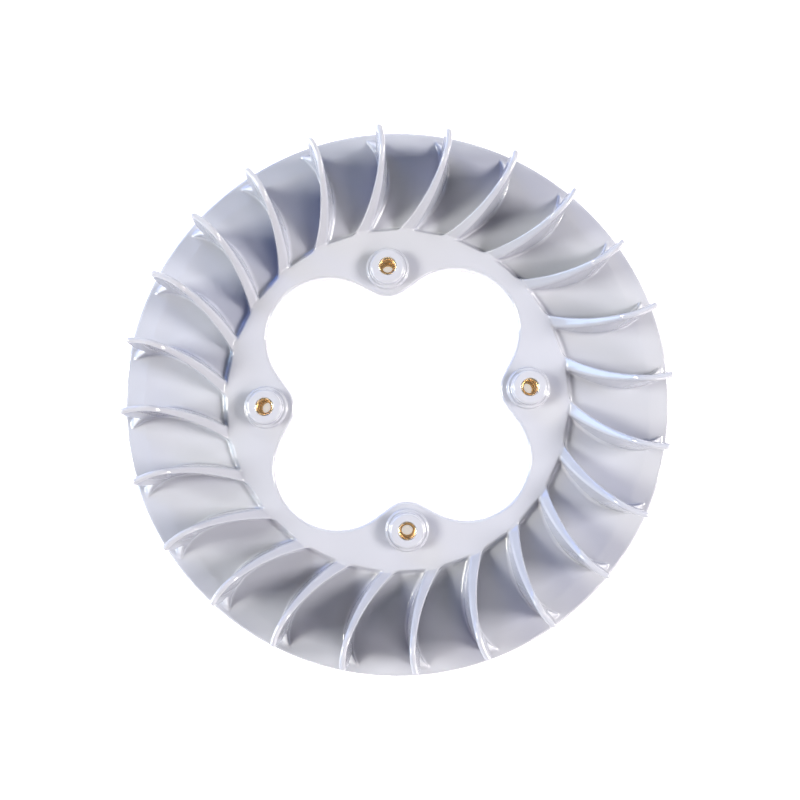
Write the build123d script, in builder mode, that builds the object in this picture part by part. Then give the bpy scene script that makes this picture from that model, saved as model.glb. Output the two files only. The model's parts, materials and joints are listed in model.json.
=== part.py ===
from build123d import *
from math import acos, atan2, cos, degrees, hypot, radians, sin
import os

os.makedirs("parts", exist_ok=True)

# Flywheel cooling fan: a moulded disc with a ring of curved vanes and four brass bolt inserts.
# Millimetres. +Z points up, to the vane side. The origin is the centre of the mounting face, which
# lies on the flywheel at Z = 0. The bolt holes lie on the X and Y axes.

# disc
rim_radius = 122.5
disc_thickness = 3.0
rim_top_z = 6.8
dish_outer_radius = 114.0
dish_mid_radius = 97.0
dish_mid_z = 4.9
dish_inner_radius = 79.5
dish_inner_z = 3.9
rim_top_round = 1.2
rim_bottom_round = 0.6

# hub ring: a polygon with one side between every two vanes, drafted above the disc
vane_count = 24
vane_pitch = 360 / vane_count
hub_flat_radius = 78.3
hub_top_z = 7.0
hub_wall_draft = 31
hub_edge_round = 0.45
deck_thickness = 3.0
skirt_thickness = 2.8
rib_thickness = 2.0

# clover opening
lobe_centre_radius = 40.8
lobe_radius = 28.2
ear_radius = 12.6
opening_edge_round = 1.4

# bolt bosses and inserts
bolt_count = 4
bolt_pitch = 360 / bolt_count
bolt_circle_radius = 59.0
boss_foot_radius = 9.3
boss_foot_z = 8.4
boss_foot_round = 0.7
boss_radius = 7.7
boss_top_z = 12.8
boss_top_round = 1.1
insert_radius = 4.0
insert_top_z = 12.6
insert_bore_radius = 2.5
insert_mouth_radius = 3.5
insert_mouth_depth = 2.2
insert_edge_chamfer = 0.3

# vanes: the plan of each centre line is given by a root, a pull and a tip point for the vane that
# stands at the top of the plan, once where it leaves the disc and once at its free edge
foot_plane_z = 3.85
foot_root = (-12.8, 73.6)
foot_pull = (10.5, 102.1)
foot_tip = (-4.1, 120.0)
foot_half_at_root = 2.35
foot_half_at_tip = 1.8
edge_plane_z = 34.5
edge_root = (-13.5, 74.1)
edge_pull = (6.6, 100.1)
edge_tip = (0.1, 117.7)
edge_half_at_root = 1.2
edge_half_at_tip = 1.2
side_stations = 6
vane_edge_round = 0.85

# vanes: side profile that trims every vane
vane_top_z = 34.0
vane_root_radius = 76.2
vane_rise_radius = 77.6
vane_rise_z = 7.0
knee_radius = 99.0
knee_z = 30.0
crest_radius = 107.8
vane_end_radius = 115.7
vane_end_z = 23.0
notch_radius = 113.8
notch_z = 13.4
heel_radius = 119.4

radius_tolerance = 0.01


def side_points(centre_line, root_offset, tip_offset):
    """Points along one side of a vane, at distances clockwise of its centre line."""
    points = []
    for station in range(side_stations):
        u = station / (side_stations - 1)
        sideways = (centre_line % u).rotate(Axis.Z, -90)
        points.append(centre_line @ u + sideways * (root_offset + u * (tip_offset - root_offset)))
    return points


def polar(radius, angle):
    return (radius * cos(radians(angle)), radius * sin(radians(angle)))


def circles_of(part, radius):
    """Circular edges of a part that have this radius."""
    circles = part.edges().filter_by(GeomType.CIRCLE)
    return circles.filter_by(lambda e: abs(e.radius - radius) < radius_tolerance)


# The ears around the bolt holes and the lobes between them are arcs joined by their inner tangents.
lobe_x, lobe_y = polar(lobe_centre_radius, bolt_pitch / 2)
centres_apart = hypot(lobe_x - bolt_circle_radius, lobe_y)
ear_to_lobe_angle = degrees(atan2(lobe_y, lobe_x - bolt_circle_radius))
tangent_angle = ear_to_lobe_angle + degrees(acos((ear_radius + lobe_radius) / centres_apart))
ear_tangent = Vector(bolt_circle_radius, 0) + Vector(*polar(ear_radius, tangent_angle))
lobe_tangent = Vector(lobe_x, lobe_y) - Vector(*polar(lobe_radius, tangent_angle))
lobe_far = Vector(*polar(lobe_centre_radius + lobe_radius, bolt_pitch / 2))
ear_tip = Vector(bolt_circle_radius - ear_radius, 0)

with BuildSketch() as opening:
    with BuildLine():
        with BuildLine(mode=Mode.PRIVATE) as quarter:
            ThreePointArc((ear_tangent.X, -ear_tangent.Y), ear_tip, ear_tangent)
            Line(ear_tangent, lobe_tangent)
            ThreePointArc(lobe_tangent, lobe_far, (lobe_tangent.Y, lobe_tangent.X))
            Line((lobe_tangent.Y, lobe_tangent.X), (ear_tangent.Y, ear_tangent.X))
        for turn in range(bolt_count):
            add(quarter.line.rotate(Axis.Z, bolt_pitch * turn))
    make_face()

# hub ring: a 24-sided ring with ribbed pockets below, one rib under the root of every vane
with BuildPart() as hub:
    with BuildSketch(Plane.XY) as hub_foot:
        RegularPolygon(hub_flat_radius, vane_count, major_radius=False, rotation=vane_pitch / 2)
    extrude(amount=dish_inner_z)
    with BuildSketch(Plane.XY.offset(dish_inner_z)) as hub_plan:
        RegularPolygon(hub_flat_radius, vane_count, major_radius=False, rotation=vane_pitch / 2)
    extrude(amount=hub_top_z - dish_inner_z, taper=hub_wall_draft)
    with BuildSketch(Plane.XY) as clover:
        add(opening.sketch)
    extrude(amount=hub_top_z, mode=Mode.SUBTRACT)
    with BuildSketch(Plane.XY) as pockets:
        RegularPolygon(
            hub_flat_radius - skirt_thickness,
            vane_count,
            major_radius=False,
            rotation=vane_pitch / 2,
        )
        with BuildSketch(mode=Mode.PRIVATE) as skirt:
            add(opening.sketch)
            offset(amount=skirt_thickness, kind=Kind.ARC)
        add(skirt.sketch, mode=Mode.SUBTRACT)
        with PolarLocations(bolt_circle_radius, bolt_count):
            Circle(boss_foot_radius, mode=Mode.SUBTRACT)
        with PolarLocations(0, vane_count, start_angle=vane_pitch / 2):
            Rectangle(2 * hub_flat_radius, rib_thickness, mode=Mode.SUBTRACT)
    extrude(amount=hub_top_z - deck_thickness, mode=Mode.SUBTRACT)

# disc: hub ring, dished annulus and bosses as one moulding
with BuildPart() as disc:
    add(hub.part)
    with BuildSketch(Plane.XZ) as annulus:
        with BuildLine():
            inner = hub_flat_radius - skirt_thickness / 2
            Line((inner, dish_inner_z), (dish_inner_radius, dish_inner_z))
            ThreePointArc(
                (dish_inner_radius, dish_inner_z),
                (dish_mid_radius, dish_mid_z),
                (dish_outer_radius, rim_top_z),
            )
            Line((dish_outer_radius, rim_top_z), (rim_radius, rim_top_z))
            Line((rim_radius, rim_top_z), (rim_radius, rim_top_z - disc_thickness))
            Line(
                (rim_radius, rim_top_z - disc_thickness),
                (dish_outer_radius, rim_top_z - disc_thickness),
            )
            ThreePointArc(
                (dish_outer_radius, rim_top_z - disc_thickness),
                (dish_mid_radius, dish_mid_z - disc_thickness),
                (dish_inner_radius, dish_inner_z - disc_thickness),
            )
            Line(
                (dish_inner_radius, dish_inner_z - disc_thickness),
                (inner, dish_inner_z - disc_thickness),
            )
            Line((inner, dish_inner_z - disc_thickness), (inner, dish_inner_z))
        make_face()
    revolve(axis=Axis.Z)
    fillet(circles_of(disc, rim_radius).sort_by(Axis.Z)[-1], rim_top_round)
    fillet(circles_of(disc, rim_radius).sort_by(Axis.Z)[0], rim_bottom_round)
    hub_top = disc.faces().filter_by(Plane.XY).sort_by(Axis.Z)[-1]
    fillet(hub_top.outer_wire().edges(), hub_edge_round)
    hub_top = disc.faces().filter_by(Plane.XY).sort_by(Axis.Z)[-1]
    fillet(hub_top.inner_wires()[0].edges(), opening_edge_round)

    # stepped bosses, drilled right through for the inserts
    with BuildSketch(Plane.XY.offset(hub_top_z - deck_thickness)) as boss_feet:
        with PolarLocations(bolt_circle_radius, bolt_count):
            Circle(boss_foot_radius)
    extrude(amount=boss_foot_z - hub_top_z + deck_thickness)
    with BuildSketch(Plane.XY.offset(hub_top_z)) as boss_tops:
        with PolarLocations(bolt_circle_radius, bolt_count):
            Circle(boss_radius)
    extrude(amount=boss_top_z - hub_top_z)
    fillet(circles_of(disc, boss_radius).group_by(Axis.Z)[-1], boss_top_round)
    fillet(circles_of(disc, boss_foot_radius).group_by(Axis.Z)[-1], boss_foot_round)
    with BuildSketch(Plane.XY) as insert_holes:
        with PolarLocations(bolt_circle_radius, bolt_count):
            Circle(insert_radius)
    extrude(amount=boss_top_z, mode=Mode.SUBTRACT)

disc.part.label = "fan_disc"
export_step(disc.part, "parts/fan_disc.step")

# one vane: a ruled blend between its foot and its free edge, trimmed by the side profile and the disc
with BuildPart() as vane:
    for plane_z, centre_points, root_half, tip_half in (
        (foot_plane_z, (foot_root, foot_pull, foot_tip), foot_half_at_root, foot_half_at_tip),
        (edge_plane_z, (edge_root, edge_pull, edge_tip), edge_half_at_root, edge_half_at_tip),
    ):
        centre_line = Bezier(*centre_points, mode=Mode.PRIVATE)
        front = side_points(centre_line, root_half, tip_half)
        back = side_points(centre_line, -root_half, -tip_half)
        with BuildSketch(Plane.XY.offset(plane_z)):
            with BuildLine():
                Spline(*front)
                Line(front[-1], back[-1])
                Spline(*reversed(back))
                Line(back[0], front[0])
            make_face()
    loft(ruled=True)
    with BuildSketch(Plane.YZ) as side_profile:
        with BuildLine():
            Line((vane_root_radius, foot_plane_z), (vane_root_radius, vane_rise_z))
            Line((vane_root_radius, vane_rise_z), (vane_rise_radius, vane_rise_z))
            rise = Line((vane_rise_radius, vane_rise_z), (knee_radius, knee_z))
            TangentArc((knee_radius, knee_z), (crest_radius, vane_top_z), tangent=rise % 1)
            Line((crest_radius, vane_top_z), (vane_end_radius, vane_top_z))
            Line((vane_end_radius, vane_top_z), (vane_end_radius, vane_end_z))
            Line((vane_end_radius, vane_end_z), (notch_radius, notch_z))
            Line((notch_radius, notch_z), (heel_radius, rim_top_z))
            Line((heel_radius, rim_top_z), (heel_radius, foot_plane_z))
            Line((heel_radius, foot_plane_z), (vane_root_radius, foot_plane_z))
        make_face()
    revolve(axis=Axis.Z, mode=Mode.INTERSECT)
    upward_faces = vane.faces().filter_by(lambda f: f.normal_at().Z > sin(radians(30)))
    raised_faces = upward_faces.filter_by(lambda f: f.center().Z > boss_top_z)
    side_edges = raised_faces.edges().filter_by(lambda e: e.length > 3 * foot_half_at_root)
    fillet(side_edges, vane_edge_round)
    add(disc.part, mode=Mode.SUBTRACT)

for index in range(vane_count):
    placed_vane = vane.part.rotate(Axis.Z, -vane_pitch * index)
    placed_vane.label = f"vane_{index + 1:02d}"
    export_step(placed_vane, f"parts/vane_{index + 1:02d}.step")

# one brass insert, with a cone at the mouth of its bore
with BuildPart() as insert:
    with BuildSketch(Plane.XZ) as wall:
        with BuildLine():
            Polyline(
                (insert_bore_radius + insert_edge_chamfer, 0),
                (insert_radius, 0),
                (insert_radius, insert_top_z),
                (insert_mouth_radius, insert_top_z),
                (insert_bore_radius, insert_top_z - insert_mouth_depth),
                (insert_bore_radius, insert_edge_chamfer),
                close=True,
            )
        make_face()
    revolve(axis=Axis.Z)

for index in range(bolt_count):
    centre_x, centre_y = polar(bolt_circle_radius, bolt_pitch * index)
    placed_insert = insert.part.moved(Location((centre_x, centre_y, 0)))
    placed_insert.label = f"bolt_insert_{index + 1}"
    export_step(placed_insert, f"parts/bolt_insert_{index + 1}.step")
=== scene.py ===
import json
import math

import bpy
import numpy as np
from mathutils import Matrix, Vector


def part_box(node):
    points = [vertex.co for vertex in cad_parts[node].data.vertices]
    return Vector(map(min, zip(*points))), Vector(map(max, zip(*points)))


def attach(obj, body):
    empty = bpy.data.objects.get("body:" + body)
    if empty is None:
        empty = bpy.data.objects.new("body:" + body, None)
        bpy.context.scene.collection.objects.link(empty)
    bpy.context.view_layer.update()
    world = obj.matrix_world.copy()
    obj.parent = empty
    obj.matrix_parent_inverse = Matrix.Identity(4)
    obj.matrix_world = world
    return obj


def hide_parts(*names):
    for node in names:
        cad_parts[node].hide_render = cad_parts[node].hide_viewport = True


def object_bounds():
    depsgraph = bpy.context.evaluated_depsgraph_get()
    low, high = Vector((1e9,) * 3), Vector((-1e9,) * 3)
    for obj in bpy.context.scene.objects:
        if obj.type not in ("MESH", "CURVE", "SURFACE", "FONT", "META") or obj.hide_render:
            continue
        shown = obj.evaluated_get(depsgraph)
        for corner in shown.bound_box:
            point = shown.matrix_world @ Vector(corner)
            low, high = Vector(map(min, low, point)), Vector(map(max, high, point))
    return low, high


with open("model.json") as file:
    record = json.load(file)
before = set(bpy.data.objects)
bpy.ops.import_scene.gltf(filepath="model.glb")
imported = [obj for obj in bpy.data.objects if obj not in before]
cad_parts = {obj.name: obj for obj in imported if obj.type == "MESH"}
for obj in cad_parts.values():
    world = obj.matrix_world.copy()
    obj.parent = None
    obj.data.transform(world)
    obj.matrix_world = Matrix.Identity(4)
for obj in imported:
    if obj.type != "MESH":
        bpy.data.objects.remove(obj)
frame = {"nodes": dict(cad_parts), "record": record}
cad_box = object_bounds()

MM = 0.001

# ---------------------------------------------------------------- sizes, in millimetres
mounts = {mount["name"]: mount for mount in frame["record"]["mounts"]}
disc_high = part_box("fan_disc")[1]
insert_low, insert_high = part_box("bolt_insert_1")
vane_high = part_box("vane_01")[1]

RIM_RADIUS = disc_high.x / MM
BOSS_TOP = disc_high.z / MM
VANE_TOP = vane_high.z / MM
BOLT_COUNT = mounts["bolt_holes"]["dims"]["count"]
BOLT_CIRCLE = mounts["bolt_holes"]["dims"]["pcd_mm"] / 2
BORE_RADIUS = mounts["bolt_holes"]["dims"]["hole_r_mm"]
INSERT_RADIUS = (insert_high.x - insert_low.x) / 2 / MM
INSERT_TOP = insert_high.z / MM
VANE_NAMES = sorted(name for name in frame["nodes"] if name.startswith("vane_"))
VANE_COUNT = len(VANE_NAMES)
VANE_PITCH = 2 * math.pi / VANE_COUNT

# disc: (radius, height) of three points on its dished top; a plain flat ring lies outside them
DISH = ((79.5, 3.9), (97.0, 4.9), (114.0, 6.8))
DISC_THICKNESS = 3.0
RIM_TOP_ROUND = 1.2
RIM_BOTTOM_ROUND = 0.6

# hub ring: its wall leans inwards above the disc
HUB_FLAT = 78.3
HUB_TOP = 7.0
HUB_DRAFT = math.radians(31)
HUB_EDGE_ROUND = 0.45
HUB_FOOT_FILLET = 0.6
DECK_THICKNESS = 3.0
SKIRT_THICKNESS = 2.8
RIB_THICKNESS = 2.0
POCKET_CORNER = 0.8
LOWER_EDGE_ROUND = 0.35

# clover opening
LOBE_CENTRE = 40.8
LOBE_RADIUS = 28.2
EAR_RADIUS = 12.6
OPENING_ROUND = 1.4

# bosses
BOSS_FOOT_RADIUS = 9.3
BOSS_FOOT_TOP = 8.4
BOSS_FOOT_ROUND = 0.7
BOSS_RADIUS = 7.7
BOSS_ROUND = 1.1
BOSS_FILLET = 0.6

# vanes: root, pull and tip points of the centre line of the vane at +Y, and half the thickness at
# its root and its tip, at the height of the foot and of the free edge
FOOT_Z = 3.85
FOOT_LINE = ((-12.8, 73.6), (10.5, 102.1), (-4.1, 120.0))
FOOT_HALF = (2.35, 1.8)
EDGE_Z = 34.5
EDGE_LINE = ((-13.5, 74.1), (6.6, 100.1), (0.1, 117.7))
EDGE_HALF = (1.2, 1.2)

# vanes: side profile in (radius, height), and roundings
RISE = ((77.6, 7.0), (99.0, 30.0))
KNEE_ROUND = 3.7
TRAIL = ((115.7, 34.0), (115.7, 23.0), (113.8, 13.4))
HEEL = ((113.8, 13.4), (119.4, 6.8))
TRAIL_ROUND = 1.0
NOTCH_ROUND = 0.5
NOSE_ROUND = 1.0
VANE_EDGE_ROUND = 1.0
VANE_FILLET_RADII = (80.0, 97.0, 110.0)
VANE_FILLETS = (1.3, 1.5, 0.8)
VANE_ROOT_LIMIT = 76.2
VANE_SINK = 0.9

# mesh: size of a cell, the radius where cells are square in plan, and the room left round the part
CELL = 0.62
SQUARE_RADIUS = 100
SIDE_MARGIN = 1.5
LOWER_MARGIN = 1.13
UPPER_MARGIN = 1.0
MOULDING_FACES = 190_000


# ---------------------------------------------------------------- smooth solids as distance fields
def join(a, b, fillet):
    """Union of two solids with a fillet in the corner between them."""
    corner = np.hypot(np.maximum(fillet - a, 0), np.maximum(fillet - b, 0))
    return np.maximum(fillet, np.minimum(a, b)) - corner


def common(a, b, rounding):
    """Intersection of two solids with their shared edge rounded."""
    corner = np.hypot(np.maximum(rounding + a, 0), np.maximum(rounding + b, 0))
    return np.minimum(-rounding, np.maximum(a, b)) + corner


def line_side(line, rho, z):
    """Distance to the left of a line through two points of the (radius, height) plane."""
    (r0, z0), (r1, z1) = line
    length = math.hypot(r1 - r0, z1 - z0)
    return ((rho - r1) * (z0 - z1) + (z - z1) * (r1 - r0)) / length


def wrapped(angle, pitch):
    return (angle + pitch / 2) % pitch - pitch / 2


dish_curve = np.polyfit([point[0] for point in DISH], [point[1] for point in DISH], 2)


def dish_top(rho):
    return np.polyval(dish_curve, np.clip(rho, DISH[0][0], DISH[2][0]))


def clover(x, y):
    """Distance out of the clover opening, positive in the material."""
    x, y = np.abs(x), np.abs(y)
    x, y = np.maximum(x, y), np.minimum(x, y)
    lobe = LOBE_CENTRE * math.sqrt(0.5)
    apart = math.hypot(lobe - BOLT_CIRCLE, lobe)
    turn = math.atan2(lobe, lobe - BOLT_CIRCLE) + math.acos((EAR_RADIUS + LOBE_RADIUS) / apart)
    normal = np.array((math.cos(turn), math.sin(turn)))
    ear_tangent = np.array((BOLT_CIRCLE, 0)) + EAR_RADIUS * normal
    lobe_tangent = np.array((lobe, lobe)) - LOBE_RADIUS * normal
    length = np.linalg.norm(lobe_tangent - ear_tangent)
    along = (lobe_tangent - ear_tangent) / length
    station = (x - ear_tangent[0]) * along[0] + (y - ear_tangent[1]) * along[1]
    straight = -((x - ear_tangent[0]) * normal[0] + (y - ear_tangent[1]) * normal[1])
    ear = EAR_RADIUS - np.hypot(x - BOLT_CIRCLE, y)
    round_lobe = np.hypot(x - lobe, y - lobe) - LOBE_RADIUS
    return np.where(station < 0, ear, np.where(station > length, round_lobe, straight))


def centre_angle(points, rho):
    """Polar angle of a vane's centre line at each radius, and the cosine of its slant there."""
    u = np.linspace(-0.2, 1.15, 400)[:, None]
    root, pull, tip = (np.array(point) for point in points)
    xy = (1 - u) ** 2 * root + 2 * u * (1 - u) * pull + u**2 * tip
    radii = np.hypot(xy[:, 0], xy[:, 1])
    angles = np.arctan2(xy[:, 1], xy[:, 0])
    slant = np.cos(np.arctan(radii * np.gradient(angles, radii)))
    return np.interp(rho, radii, angles), np.interp(rho, radii, slant)


def vane_field(rho, theta, z):
    """The nearest vane, without its fillets."""
    up = (z - FOOT_Z) / (EDGE_Z - FOOT_Z)
    foot_angle, foot_slant = centre_angle(FOOT_LINE, rho)
    edge_angle, edge_slant = centre_angle(EDGE_LINE, rho)
    angle = foot_angle + up * (edge_angle - foot_angle)
    slant = foot_slant + up * (edge_slant - foot_slant)
    foot_half = np.interp(rho, (HUB_FLAT, TRAIL[0][0]), FOOT_HALF)
    edge_half = np.interp(rho, (HUB_FLAT, TRAIL[0][0]), EDGE_HALF)
    half = foot_half + up * (edge_half - foot_half)
    side = np.abs(rho * slant * np.sin(wrapped(theta - angle, VANE_PITCH))) - half
    top = common(line_side(RISE, rho, z), z - VANE_TOP, KNEE_ROUND)
    trail = common(line_side(TRAIL[:2], rho, z), line_side(TRAIL[1:], rho, z), TRAIL_ROUND)
    end = join(trail, line_side(HEEL, rho, z), NOTCH_ROUND)
    profile = common(top, end, NOSE_ROUND)
    vane = common(side, profile, VANE_EDGE_ROUND)
    return np.maximum(vane, np.maximum(VANE_ROOT_LIMIT - rho, dish_top(rho) - VANE_SINK - z))


def moulding_field(rho, theta, z):
    """The whole moulding: negative inside it, positive outside."""
    x, y = rho * np.cos(theta), rho * np.sin(theta)
    polygon = rho * np.cos(wrapped(theta, VANE_PITCH)) - HUB_FLAT
    drafted = (polygon + (z - DISH[0][1]) * math.tan(HUB_DRAFT)) * math.cos(HUB_DRAFT)
    opening = clover(x, y)
    boss_angle = wrapped(theta, 2 * math.pi / BOLT_COUNT)
    boss = np.hypot(rho * np.cos(boss_angle) - BOLT_CIRCLE, rho * np.sin(boss_angle))

    hub = common(np.maximum(polygon, drafted), z - HUB_TOP, HUB_EDGE_ROUND)
    hub = common(hub, -opening, OPENING_ROUND)
    hub = common(hub, -z, LOWER_EDGE_ROUND)
    top = dish_top(rho)
    plate = common(z - top, rho - RIM_RADIUS, RIM_TOP_ROUND)
    plate = common(plate, top - DISC_THICKNESS - z, RIM_BOTTOM_ROUND)
    plate = np.maximum(plate, VANE_ROOT_LIMIT - rho)
    body = join(hub, plate, HUB_FOOT_FILLET)

    rib = rho * np.sin(np.abs(wrapped(theta - VANE_PITCH / 2, VANE_PITCH)))
    pocket = common(polygon + SKIRT_THICKNESS, SKIRT_THICKNESS - opening, POCKET_CORNER)
    pocket = common(pocket, BOSS_FOOT_RADIUS - boss, POCKET_CORNER)
    pocket = common(pocket, RIB_THICKNESS / 2 - rib, POCKET_CORNER)
    pocket = common(pocket, z - HUB_TOP + DECK_THICKNESS, POCKET_CORNER)
    body = common(body, -pocket, LOWER_EDGE_ROUND)

    foot = common(boss - BOSS_FOOT_RADIUS, z - BOSS_FOOT_TOP, BOSS_FOOT_ROUND)
    head = common(boss - BOSS_RADIUS, z - BOSS_TOP, BOSS_ROUND)
    bosses = np.maximum(join(foot, head, BOSS_FILLET), HUB_TOP - DECK_THICKNESS - z)
    body = join(body, bosses, BOSS_FILLET)
    body = common(body, INSERT_RADIUS - boss, LOWER_EDGE_ROUND / 2)
    return join(body, vane_field(rho, theta, z), np.interp(rho, VANE_FILLET_RADII, VANE_FILLETS))


# ---------------------------------------------------------------- meshing a field
CORNERS = [(i, j, k) for i in (0, 1) for j in (0, 1) for k in (0, 1)]
CELL_EDGES = [
    (a, b)
    for a in range(8)
    for b in range(a + 1, 8)
    if sum(abs(p - q) for p, q in zip(CORNERS[a], CORNERS[b])) == 1
]


def surface_net(field, radii, angles, heights, turns):
    """Quads around the zero surface of a field: one of several equal turns, then all of them."""
    wedge = angles[-1] + angles[1] - 2 * angles[0]
    values = field(radii[:, None, None], angles[None, :, None], heights[None, None, :])
    values = values.astype(np.float32)
    count = len(angles)
    grid = np.concatenate([values, values[:, :1]], axis=1)
    inside = grid < 0
    spans = [slice(None, -1), slice(1, None)]
    total = sum(inside[spans[i], spans[j], spans[k]].astype(np.int8) for i, j, k in CORNERS)
    cells = np.argwhere((total > 0) & (total < 8))
    corner_values = np.stack(
        [grid[cells[:, 0] + i, cells[:, 1] + j, cells[:, 2] + k] for i, j, k in CORNERS], axis=1
    )
    crossing_sum = np.zeros((len(cells), 3))
    crossing_count = np.zeros(len(cells))
    for a, b in CELL_EDGES:
        crosses = (corner_values[:, a] < 0) != (corner_values[:, b] < 0)
        span = np.where(crosses, corner_values[:, a] - corner_values[:, b], 1)
        share = (corner_values[:, a] / span)[:, None]
        place = np.array(CORNERS[a]) + share * (np.array(CORNERS[b]) - np.array(CORNERS[a]))
        crossing_sum += np.where(crosses[:, None], place, 0)
        crossing_count += crosses
    places = cells + crossing_sum / crossing_count[:, None]
    all_angles = np.append(angles, angles[0] + wedge)
    polar = np.stack(
        [
            np.interp(places[:, axis], np.arange(len(lines)), lines)
            for axis, lines in enumerate((radii, all_angles, heights))
        ],
        axis=1,
    )

    number = np.full(total.shape, -1, np.int64)
    number[tuple(cells.T)] = np.arange(len(cells))
    quads, shifts = [], []
    for axis in range(3):
        low = [slice(None)] * 3
        high = [slice(None)] * 3
        low[axis], high[axis] = spans
        first = values if axis != 1 else grid
        flips = np.argwhere((first[tuple(low)] < 0) != (first[tuple(high)] < 0))
        entering = first[tuple(flips.T)] >= 0
        others = [other for other in range(3) if other != axis]
        ring = []
        for step in ((0, 0), (-1, 0), (-1, -1), (0, -1)):
            cell = flips.copy()
            for other, move in zip(others, step):
                cell[:, other] += move
            shift = np.where(cell[:, 1] < 0, -1, 0)
            cell[:, 1] %= count
            ring.append((number[tuple(cell.T)], shift))
        order = np.stack([item[0] for item in ring], axis=1)
        shift = np.stack([item[1] for item in ring], axis=1)
        backwards = entering if axis != 1 else ~entering
        order[backwards] = order[backwards][:, ::-1]
        shift[backwards] = shift[backwards][:, ::-1]
        quads.append(order)
        shifts.append(shift)
    quads, shifts = np.concatenate(quads), np.concatenate(shifts)
    copies = np.concatenate([polar + (0, wedge * turn, 0) for turn in range(turns)])
    faces = [quads + ((shifts + turn) % turns) * len(polar) for turn in range(turns)]
    return copies, np.concatenate(faces)


def to_polar(points):
    return np.hypot(points[:, 0], points[:, 1]), np.arctan2(points[:, 1], points[:, 0]), points[:, 2]


def slope(field, points, step=0.02):
    """Gradient of a field at points in x, y, z."""
    sides = []
    for axis in range(3):
        move = np.zeros(3)
        move[axis] = step
        sides.append((field(*to_polar(points + move)) - field(*to_polar(points - move))) / (2 * step))
    return np.stack(sides, axis=1)


def settle(field, points, rounds):
    """Moves points onto the zero surface of a field, never far where the field is nearly level."""
    least_slope = 0.1
    for _ in range(rounds):
        steep = slope(field, points)
        reach = field(*to_polar(points)) / np.maximum((steep**2).sum(axis=1), least_slope)
        points = points - np.clip(reach, -CELL / 2, CELL / 2)[:, None] * steep
    return points


def mesh_object(name, points, faces):
    """A smooth-shaded object from points in millimetres."""
    mesh = bpy.data.meshes.new(name)
    mesh.from_pydata((points * MM).tolist(), [], faces.tolist())
    mesh.update()
    mesh.polygons.foreach_set("use_smooth", np.ones(len(mesh.polygons), bool))
    piece = bpy.data.objects.new(name, mesh)
    bpy.context.scene.collection.objects.link(piece)
    return piece


def vertices_of(mesh):
    points = np.zeros(len(mesh.vertices) * 3)
    mesh.vertices.foreach_get("co", points)
    return points.reshape(-1, 3) / MM


def build_moulding():
    """The moulding: meshed from bolt to bolt, copied round, thinned and set back on its surface."""
    wedge = 2 * math.pi / BOLT_COUNT
    wedge_vanes = VANE_COUNT // BOLT_COUNT
    angle_count = wedge_vanes * round(wedge * SQUARE_RADIUS / CELL / wedge_vanes)
    radii = np.arange(BOLT_CIRCLE - EAR_RADIUS - SIDE_MARGIN, RIM_RADIUS + SIDE_MARGIN, CELL)
    angles = np.arange(angle_count) * (wedge / angle_count)
    heights = np.arange(-LOWER_MARGIN, VANE_TOP + UPPER_MARGIN, CELL)
    polar, faces = surface_net(moulding_field, radii, angles, heights, BOLT_COUNT)
    rho, theta, z = polar[: len(polar) // BOLT_COUNT].T
    first = settle(moulding_field, np.stack([rho * np.cos(theta), rho * np.sin(theta), z], axis=1), 2)
    x, y, z = first.T
    turns = [
        np.stack([x * across - y * along, x * along + y * across, z], axis=1)
        for across, along in ((1, 0), (0, 1), (-1, 0), (0, -1))
    ]
    piece = mesh_object("fan_moulding", np.concatenate(turns), faces)
    thin = piece.modifiers.new("thin", "DECIMATE")
    thin.ratio = min(1.0, MOULDING_FACES / (2 * len(faces)))
    evaluated = piece.evaluated_get(bpy.context.evaluated_depsgraph_get())
    thinned = bpy.data.meshes.new_from_object(evaluated)
    piece.modifiers.clear()
    piece.data = thinned
    points = settle(moulding_field, vertices_of(thinned), 2)
    thinned.vertices.foreach_set("co", (points * MM).ravel())
    thinned.update()
    thinned.polygons.foreach_set("use_smooth", np.ones(len(thinned.polygons), bool))
    steep = slope(moulding_field, points)
    steep /= np.linalg.norm(steep, axis=1)[:, None]
    thinned.normals_split_custom_set_from_vertices(steep.tolist())
    return piece


# ---------------------------------------------------------------- brass inserts
THREAD_PITCH = 1.0
THREAD_DEPTH = 0.3
MOUTH_RADIUS = 3.5
MOUTH_DEPTH = 2.2
INSERT_LIP = 0.25
KNURL_TEETH = 40
KNURL_DEPTH = 0.12
KNURL_MARGIN = 1.0
KNURL_ROWS = 6
MOUTH_EDGE_WIDTH = 0.12
MOUTH_EDGE_DEPTH = 0.08
LIP_ROWS = 5
INSERT_SEGMENTS = 120
THREAD_ROWS = 12


def insert_rings():
    """(radius, height, thread share, knurl share) of each ring of an insert, from the outside in."""
    rings = [(INSERT_RADIUS - INSERT_LIP, 0, 0, 0), (INSERT_RADIUS, INSERT_LIP, 0, 0)]
    for height in np.linspace(KNURL_MARGIN, INSERT_TOP - KNURL_MARGIN, KNURL_ROWS):
        rings.append((INSERT_RADIUS, height, 0, 1))
    for turn in np.linspace(0, math.pi / 2, LIP_ROWS):
        rings.append((
            INSERT_RADIUS - INSERT_LIP * (1 - math.cos(turn)),
            INSERT_TOP - INSERT_LIP * (1 - math.sin(turn)),
            0,
            0,
        ))
    rings.append((MOUTH_RADIUS + MOUTH_EDGE_WIDTH, INSERT_TOP, 0, 0))
    rings.append((MOUTH_RADIUS, INSERT_TOP - MOUTH_EDGE_DEPTH, 0, 0))
    thread_top = INSERT_TOP - MOUTH_DEPTH
    rows = int(THREAD_ROWS * thread_top / THREAD_PITCH)
    for row in range(rows + 1):
        height = thread_top - row * thread_top / rows
        fade = min(1, (thread_top - height) / THREAD_PITCH, height / THREAD_PITCH)
        rings.append((BORE_RADIUS, height, fade, 0))
    return rings


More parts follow.
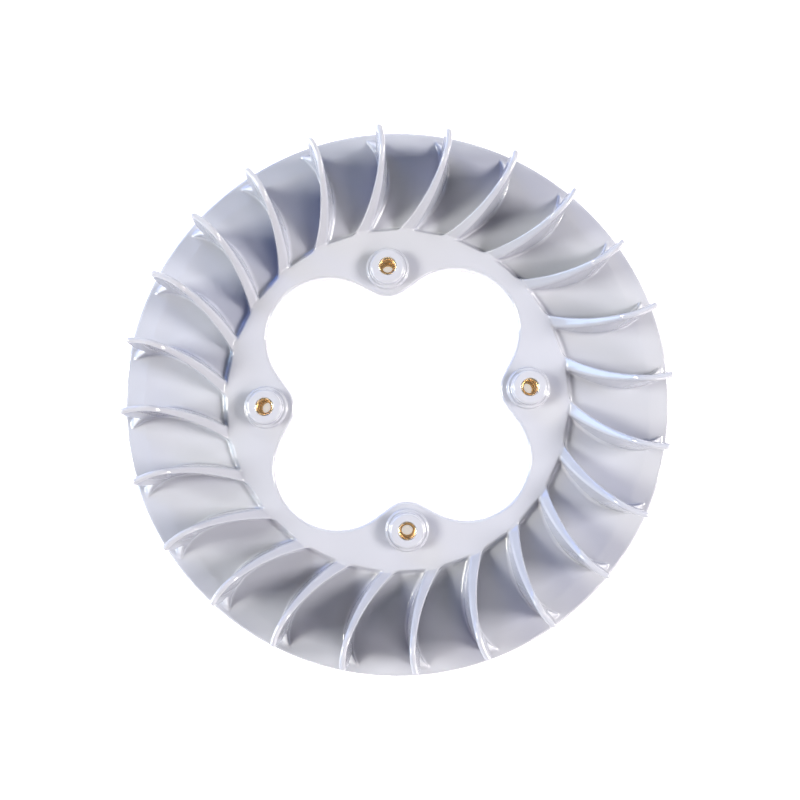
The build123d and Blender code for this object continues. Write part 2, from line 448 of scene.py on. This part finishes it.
def build_insert(name, centre):
    """A knurled, threaded bush, lathed around its own axis."""
    angles = np.arange(INSERT_SEGMENTS) * (2 * math.pi / INSERT_SEGMENTS)
    rings = insert_rings()
    points = []
    for radius, height, thread, knurl in rings:
        phase = (height / THREAD_PITCH + angles / (2 * math.pi)) % 1
        groove = THREAD_DEPTH * thread * (1 - np.abs(2 * phase - 1))
        teeth = KNURL_DEPTH * knurl * (0.5 + 0.5 * np.cos(KNURL_TEETH * angles))
        around = radius + groove - teeth
        x, y = centre[0] + around * np.cos(angles), centre[1] + around * np.sin(angles)
        points.append(np.stack([x, y, np.full_like(x, height)], axis=1))
    index = np.arange(len(rings) * INSERT_SEGMENTS).reshape(len(rings), INSERT_SEGMENTS)
    after = np.roll(index, -1, axis=1)
    following = np.roll(index, -1, axis=0)
    following_after = np.roll(after, -1, axis=0)
    faces = np.stack([index, after, following_after, following], axis=2).reshape(-1, 4)
    return mesh_object(name, np.concatenate(points), faces)


# ---------------------------------------------------------------- materials
def new_material(name):
    material = bpy.data.materials.new(name)
    material.use_nodes = True
    tree = material.node_tree
    return material, tree, tree.nodes["Principled BSDF"]


def noise(tree, scale, detail=4.0, roughness=0.5):
    """Noise in the object's own coordinates, with scale in cycles per metre."""
    place = tree.nodes.new("ShaderNodeTexCoord")
    texture = tree.nodes.new("ShaderNodeTexNoise")
    texture.inputs["Scale"].default_value = scale
    texture.inputs["Detail"].default_value = detail
    texture.inputs["Roughness"].default_value = roughness
    tree.links.new(place.outputs["Object"], texture.inputs["Vector"])
    return texture.outputs["Fac"]


def spread(tree, value, low, high, start=0.3, end=0.7):
    """A value mapped from start..end to low..high."""
    node = tree.nodes.new("ShaderNodeMapRange")
    for socket, number in zip(("From Min", "From Max", "To Min", "To Max"), (start, end, low, high)):
        node.inputs[socket].default_value = number
    tree.links.new(value, node.inputs["Value"])
    return node.outputs["Result"]


def blend_colours(tree, share, first, second):
    node = tree.nodes.new("ShaderNodeMix")
    node.data_type = "RGBA"
    for socket, colour in (("A", first), ("B", second)):
        target = next(s for s in node.inputs if s.name == socket and s.type == "RGBA")
        if isinstance(colour, tuple):
            target.default_value = (*colour, 1)
        else:
            tree.links.new(colour, target)
    tree.links.new(share, node.inputs["Factor"])
    return next(s for s in node.outputs if s.type == "RGBA")


def bump(tree, height, distance, strength=1.0):
    node = tree.nodes.new("ShaderNodeBump")
    node.inputs["Distance"].default_value = distance
    node.inputs["Strength"].default_value = strength
    tree.links.new(height, node.inputs["Height"])
    return node.outputs["Normal"]


def moulding_material():
    """Glossy blue-grey moulded plastic, a little paler on worn edges."""
    material, tree, shader = new_material("moulded_plastic")
    flow_lines = spread(tree, noise(tree, 24, 3), 0, 1)
    flow = blend_colours(tree, flow_lines, (0.43, 0.445, 0.50), (0.445, 0.46, 0.515))
    edge = tree.nodes.new("ShaderNodeNewGeometry").outputs["Pointiness"]
    worn = blend_colours(tree, spread(tree, edge, 0, 0.5, 0.52, 0.62), flow, (0.52, 0.535, 0.59))
    tree.links.new(worn, shader.inputs["Base Color"])
    tree.links.new(spread(tree, noise(tree, 160, 6), 0.08, 0.11), shader.inputs["Roughness"])
    tree.links.new(bump(tree, noise(tree, 320, 5), 0.00002, 0.3), shader.inputs["Normal"])
    shader.inputs["IOR"].default_value = 1.5
    shader.inputs["Coat Weight"].default_value = 0.5
    shader.inputs["Coat Roughness"].default_value = 0.03
    return material


def brass_material():
    """Turned brass, a little tarnished."""
    material, tree, shader = new_material("turned_brass")
    tarnish = spread(tree, noise(tree, 600, 4), 0, 1)
    tone = blend_colours(tree, tarnish, (0.90, 0.74, 0.50), (0.74, 0.55, 0.33))
    tree.links.new(tone, shader.inputs["Base Color"])
    tree.links.new(spread(tree, noise(tree, 1500, 4), 0.14, 0.26), shader.inputs["Roughness"])
    tree.links.new(bump(tree, noise(tree, 4000, 3), 0.00002, 0.4), shader.inputs["Normal"])
    shader.inputs["Metallic"].default_value = 0.9
    return material


def floor_material():
    """Plain white, and lit from below like a light table."""
    material, _, shader = new_material("white_table")
    shader.inputs["Base Color"].default_value = (0.9, 0.9, 0.9, 1)
    shader.inputs["Roughness"].default_value = 0.8
    shader.inputs["Emission Color"].default_value = (1, 1, 1, 1)
    shader.inputs["Emission Strength"].default_value = 0.55
    return material


# ---------------------------------------------------------------- the object
moulding = build_moulding()
moulding.data.materials.clear()
moulding.data.materials.append(moulding_material())
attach(moulding, "root")
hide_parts("fan_disc", *VANE_NAMES)

brass = brass_material()
for number in range(BOLT_COUNT):
    node = f"bolt_insert_{number + 1}"
    low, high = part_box(node)
    centre = (low + high) / 2 / MM
    bush = build_insert(f"threaded_insert_{number + 1}", centre)
    bush.data.materials.append(brass)
    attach(bush, "root")
    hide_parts(node)


# ---------------------------------------------------------------- floor, light and camera
CAMERA_DISTANCE = 0.3693
CAMERA_TILT = math.radians(4.4)
CAMERA_ROLL = math.radians(4.27)
CAMERA_LENS = 37.0
AIM_RIGHT, AIM_UP, AIM_Z = 0.0012, -0.00097, 0.0068


def add_light(name, size, place, power, colour):
    """A rectangular softbox aimed at the origin."""
    lamp = bpy.data.lights.new(name, "AREA")
    lamp.shape = "RECTANGLE"
    lamp.size, lamp.size_y = size
    lamp.energy = power
    lamp.color = colour
    holder = bpy.data.objects.new(name, lamp)
    holder.location = place
    holder.rotation_euler = (-place).to_track_quat("-Z", "Y").to_euler()
    bpy.context.scene.collection.objects.link(holder)


# the floor lies just below the part, so that no two faces share a plane
FLOOR_GAP = 0.0001
bpy.ops.mesh.primitive_plane_add(size=6)
floor = bpy.context.object
floor.name = "floor"
floor.location = (0, 0, cad_box[0][2] - FLOOR_GAP)
floor.data.materials.append(floor_material())

# (name, compass turn from the image's right, height angle, width and height, power, colour)
LIGHT_DISTANCE = 1.2
LIGHTS = (
    ("softbox_right", 0, 36, (0.45, 0.3), 17.9, (1, 0.95, 0.91)),
    ("softbox_left", 180, 36, (0.45, 0.3), 16.1, (1, 0.97, 0.87)),
    ("low_left", 180, 13, (0.8, 0.3), 4.4, (0.42, 0.68, 1)),
    ("far_strip", 90, 36, (0.7, 0.2), 2.8, (1, 0.98, 0.9)),
    ("near_right", 315, 36, (0.5, 0.3), 4.7, (1, 0.93, 0.95)),
    ("near_left", 225, 30, (0.6, 0.3), 2.4, (1, 0.86, 0.9)),
    ("blue_panel", 130, 20, (0.6, 0.4), 4.7, (0.06, 0.25, 1)),
)
for name, turn, height, size, power, colour in LIGHTS:
    turn, height = math.radians(turn) - CAMERA_ROLL, math.radians(height)
    flat = math.cos(height)
    place = Vector((math.cos(turn) * flat, math.sin(turn) * flat, math.sin(height))) * LIGHT_DISTANCE
    add_light(name, size, place, power, colour)

world = bpy.data.worlds.new("studio")
world.use_nodes = True
world.node_tree.nodes["Background"].inputs["Color"].default_value = (0.93, 0.96, 1, 1)
world.node_tree.nodes["Background"].inputs["Strength"].default_value = 0.02
bpy.context.scene.world = world
bpy.context.scene.view_settings.view_transform = "Standard"

image_right = Vector((math.cos(CAMERA_ROLL), -math.sin(CAMERA_ROLL), 0))
image_up = Vector((math.sin(CAMERA_ROLL), math.cos(CAMERA_ROLL), 0))
aim = image_right * AIM_RIGHT + image_up * AIM_UP + Vector((0, 0, AIM_Z))
towards_camera = Vector((0, 0, math.cos(CAMERA_TILT))) - image_up * math.sin(CAMERA_TILT)
camera_right = image_up.cross(towards_camera).normalized()
camera_up = towards_camera.cross(camera_right)
camera_place = aim + towards_camera * CAMERA_DISTANCE

camera = bpy.data.objects.new("camera", bpy.data.cameras.new("camera"))
camera.data.lens = CAMERA_LENS
camera.data.sensor_width = 36
camera.matrix_world = Matrix((
    (camera_right.x, camera_up.x, towards_camera.x, camera_place.x),
    (camera_right.y, camera_up.y, towards_camera.y, camera_place.y),
    (camera_right.z, camera_up.z, towards_camera.z, camera_place.z),
    (0, 0, 0, 1),
))
bpy.context.scene.collection.objects.link(camera)
bpy.context.scene.camera = camera
